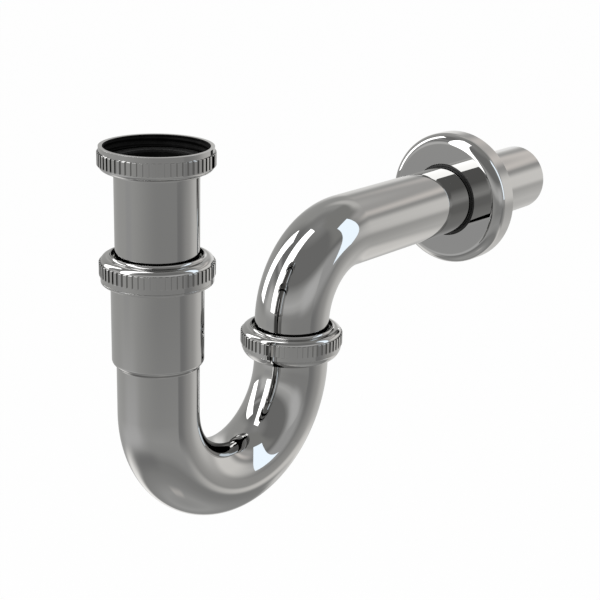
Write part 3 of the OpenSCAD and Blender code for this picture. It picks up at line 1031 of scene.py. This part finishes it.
def make_tent(studio):
    """A wide tent of grey cloth round the trap, flat along the floor, with an opening at the back."""
    radius, ground = studio.tent_radius, studio.hang_height - ABOVE_FLOOR
    mesh = bpy.data.meshes.new("tent")
    work = bmesh.new()
    rows = []
    for elevation in range(-TENT_TOP, TENT_TOP + 1, TENT_STEP):
        row = []
        for azimuth in range(-180, 180, TENT_STEP):
            way = towards(azimuth, elevation)
            reach = min(radius, ground / -way.z) if way.z < 0 else radius
            row.append(work.verts.new(way * reach))
        rows.append(row)
    columns = len(rows[0])
    from_azimuth, to_azimuth, from_elevation, to_elevation = TENT_OPENING
    for index, (low, high) in enumerate(zip(rows, rows[1:])):
        elevation = -TENT_TOP + TENT_STEP * (index + 0.5)
        for column in range(columns):
            azimuth = -180 + TENT_STEP * (column + 0.5)
            if from_azimuth < azimuth < to_azimuth and from_elevation < elevation < to_elevation:
                continue
            following = (column + 1) % columns
            work.faces.new((low[column], low[following], high[following], high[column]))
    work.faces.new(rows[0])
    work.faces.new(reversed(rows[-1]))
    work.to_mesh(mesh)
    work.free()
    mesh.materials.append(tent_cloth())
    only_reflected(put_in_scene("tent", mesh, studio.middle))


def make_softboxes(studio):
    """Three softboxes inside the tent, which the plating mirrors as white patches."""
    for name, (corners, colour) in SOFTBOXES.items():
        mesh = bpy.data.meshes.new(name)
        points = [towards(*corner) * studio.tent_radius * SOFTBOX_REACH for corner in corners]
        mesh.from_pydata(points, [], [(0, 1, 2, 3)])
        mesh.materials.append(softbox_cloth(name.replace("_", " "), colour))
        only_reflected(put_in_scene(name, mesh, studio.middle))


def seen_directly(tree):
    """1 for rays from the camera and for those that a metal or a glass sends on."""
    mirrored = maths(tree, "MAXIMUM", ray(tree, "Is Camera Ray"), ray(tree, "Is Glossy Ray"))
    return maths(tree, "MAXIMUM", mirrored, ray(tree, "Is Transmission Ray"))


def show(tree, output, share, lit, white):
    """Shows white by its share, and what is lit by the rest."""
    mix = add(tree, "MixShader", {0: share, 1: lit.outputs[0], 2: white.outputs[0]})
    feed(tree.nodes[output], {"Surface": mix.outputs["Shader"]})


def make_world(studio):
    """White where it is seen or mirrored, and an even light on everything else."""
    world = bpy.data.worlds.new("studio world")
    bpy.context.scene.world = world
    world.use_nodes = True
    tree = world.node_tree
    light = tree.nodes["Background"]
    feed(light, {"Color": (1, 1, 1, 1), "Strength": studio.even_light})
    white = add(tree, "Background", {"Color": (1, 1, 1, 1), "Strength": within_reach(tree)})
    show(tree, "World Output", seen_directly(tree), light, white)


def make_floor(studio):
    """A wide white floor below the trap, which hangs over it as under a basin."""
    mesh = bpy.data.meshes.new("floor")
    work = bmesh.new()
    bmesh.ops.create_circle(work, cap_ends=True, segments=96, radius=studio.tent_radius * FLOOR_REACH)
    work.to_mesh(mesh)
    work.free()
    material = new_material("floor paint")
    tree = material.node_tree
    paint = tree.nodes["Principled BSDF"]
    feed(paint, {"Base Color": (0.9, 0.9, 0.9, 1), "Roughness": 0.9})
    share = maths(tree, "MULTIPLY", seen_directly(tree), FLOOR_WHITE)
    show(tree, "Material Output", share, paint, add(tree, "Emission"))
    mesh.materials.append(material)
    put_in_scene("floor", mesh, Vector(studio.middle) - Vector((0, 0, studio.hang_height)))


def make_lamp(studio):
    """A wide lamp from the upper left, which models the dull pieces."""
    data = bpy.data.lights.new("soft_lamp", "AREA")
    data.shape, data.size, data.energy = "SQUARE", studio.lamp_size, studio.lamp_watts
    way = towards(*LAMP_PLACE)
    lamp = put_in_scene("soft_lamp", data, Vector(studio.middle) + way * studio.lamp_distance)
    lamp.rotation_euler = way.to_track_quat("Z", "Y").to_euler()
    lamp.visible_glossy = False


class TRAP_OT_studio(Operator):
    """Make the camera, the tent, the softboxes, the floor and the light"""
    bl_idname = "trap.studio"
    bl_label = "Studio"

    def execute(self, context):
        studio = context.scene.trap_studio
        context.scene.view_settings.view_transform = "Standard"
        make_camera(studio)
        make_world(studio)
        make_floor(studio)
        make_tent(studio)
        make_softboxes(studio)
        make_lamp(studio)
        return {"FINISHED"}


class TRAP_PT_panel(Panel):
    """Sizes, finishes and makers of the trap"""
    bl_idname = "TRAP_PT_panel"
    bl_label = "Tubular trap"
    bl_space_type = "VIEW_3D"
    bl_region_type = "UI"
    bl_category = "Trap"

    def draw(self, context):
        for group in GROUPS:
            box = self.layout.box()
            settings = getattr(context.scene, group)
            for name in settings.__annotations__:
                box.prop(settings, name)
        for maker in MAKERS:
            self.layout.operator(maker.bl_idname)


MAKERS = (
    TRAP_OT_studio, TRAP_OT_union_nuts, TRAP_OT_washers, TRAP_OT_gaskets, TRAP_OT_slip_seal, TRAP_OT_tail,
    TRAP_OT_collars, TRAP_OT_trap_bend, TRAP_OT_outlet_bend, TRAP_OT_wall_plate, TRAP_OT_plate_ring,
)


def register():
    for group in GROUPS.values():
        bpy.utils.register_class(group)
    for name, group in GROUPS.items():
        setattr(bpy.types.Scene, name, PointerProperty(type=group))
    for maker in (*MAKERS, TRAP_PT_panel):
        bpy.utils.register_class(maker)


def unregister():
    for maker in (TRAP_PT_panel, *reversed(MAKERS)):
        bpy.utils.unregister_class(maker)
    for name in GROUPS:
        delattr(bpy.types.Scene, name)
    for group in GROUPS.values():
        bpy.utils.unregister_class(group)


def main():
    register()
    for maker in MAKERS:
        group, name = maker.bl_idname.split(".")
        getattr(getattr(bpy.ops, group), name)()


if __name__ == "__main__":
    main()
